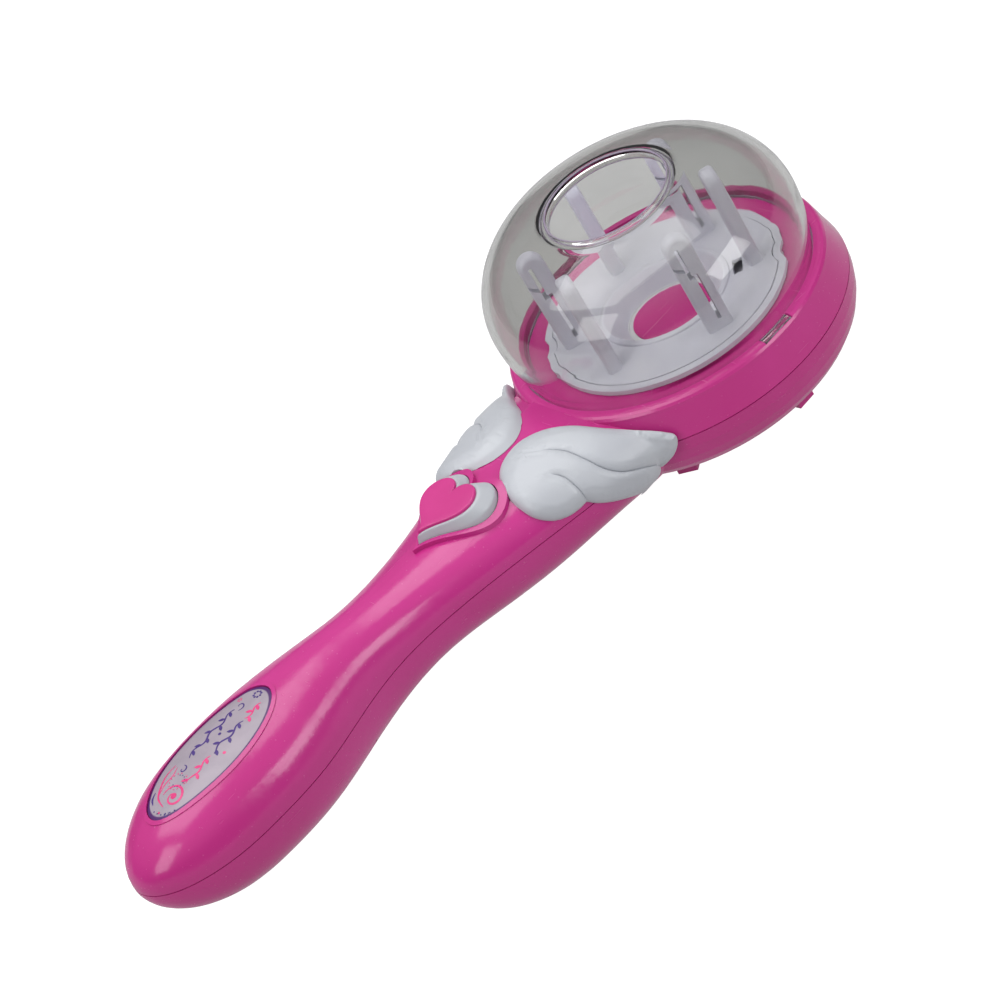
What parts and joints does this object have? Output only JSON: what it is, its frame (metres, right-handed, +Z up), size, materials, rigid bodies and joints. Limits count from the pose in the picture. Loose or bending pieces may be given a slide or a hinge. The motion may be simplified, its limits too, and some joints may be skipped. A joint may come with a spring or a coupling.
{
  "type": "hair braider",
  "caption": "Hand-held battery hair braider: a handled shell with a heart push button, winged neck and a round head where a plate with hair prongs turns under a clear lift-off dome.",
  "frame": {"origin": "middle of the overall length, on the surface the wand lies on", "axes": "+X along the wand towards the head, +Z up through the dome, XZ is the mirror plane of the shell"},
  "size_m": [0.2782, 0.1028, 0.0701],
  "materials": {
    "pink_shell": "gloss",
    "white_trim": "satin",
    "rotor_white": "satin",
    "clear_dome": "clear",
    "heart_pink": "satin",
    "label_face": "printed",
    "nylon": "natural",
    "steel": "bright",
    "motor_steel": "plated",
    "screw_steel": "plated",
    "board_green": "solder mask",
    "switch_black": "moulded",
    "battery_case": "wrapped",
    "contact_metal": "nickel"
  },
  "bodies": {
    "housing": {"top_housing": "pink_shell", "bottom_housing": "pink_shell", "label_plate": "label_face", "left_wing": "white_trim", "right_wing": "white_trim", "centre_bush": "nylon", "second_axle": "steel", "first_axle": "steel", "gear_frame": "nylon", "motor_can": "motor_steel", "housing_screws": "screw_steel", "frame_screws": "screw_steel", "board_screws": "screw_steel", "circuit_board": "board_green", "push_switch": "switch_black", "button_spring": "steel", "upper_cell": "battery_case", "lower_cell": "battery_case", "battery_contacts": "contact_metal"},
    "rotor": {"rotor_base": "rotor_white", "rotor_plate": "rotor_white", "hub_ring": "rotor_white", "rotor_gear": "nylon", "rotor_screws": "screw_steel", "prong_1": "rotor_white", "prong_2": "rotor_white", "prong_3": "rotor_white", "prong_4": "rotor_white", "prong_5": "rotor_white", "prong_6": "rotor_white"},
    "dome": {"dome_cover": "clear_dome"},
    "button": {"heart_button": "white_trim", "heart_cap": "heart_pink", "switch_plunger": "switch_black"},
    "door": {"battery_door": "pink_shell", "door_screw": "screw_steel"},
    "second_gear": {"second_gear": "nylon"},
    "first_gear": {"first_gear": "nylon"},
    "motor_rotor": {"motor_shaft": "steel", "motor_pinion": "nylon"}
  },
  "joints": [
    {"name": "rotor_spin", "type": "hinge", "parent": "housing", "child": "rotor", "pos_m": [0.0877, 0, 0.02], "axis": [0, 0, 1], "continuous": true},
    {"name": "second_gear_spin", "type": "hinge", "parent": "housing", "child": "second_gear", "pos_m": [0.0493, 0, 0.02], "axis": [0, 0, 1], "continuous": true},
    {"name": "first_gear_spin", "type": "hinge", "parent": "housing", "child": "first_gear", "pos_m": [0.0343, 0, 0.02], "axis": [0, 0, 1], "continuous": true},
    {"name": "motor_spin", "type": "hinge", "parent": "housing", "child": "motor_rotor", "pos_m": [0.0233, 0, 0.02], "axis": [0, 0, 1], "continuous": true},
    {"name": "dome_lift", "type": "slide", "parent": "housing", "child": "dome", "axis": [0, 0, 1], "range_m": [0, 0.045]},
    {"name": "button_press", "type": "slide", "parent": "housing", "child": "button", "axis": [0.0802, 0, -0.9968], "range_m": [0, 0.0015], "stiffness_N_per_m": 600, "springref_m": -0.002, "deforming": ["button_spring"]},
    {"name": "door_swing", "type": "hinge", "parent": "housing", "child": "door", "pos_m": [-0.1235, 0, 0.001], "axis": [0, 1, 0], "range_deg": [0, 70]}
  ],
  "couplings": [
    {"joint": "second_gear_spin", "follows": "rotor_spin", "ratio": -7},
    {"joint": "first_gear_spin", "follows": "rotor_spin", "ratio": 28},
    {"joint": "motor_spin", "follows": "rotor_spin", "ratio": -95.2}
  ]
}
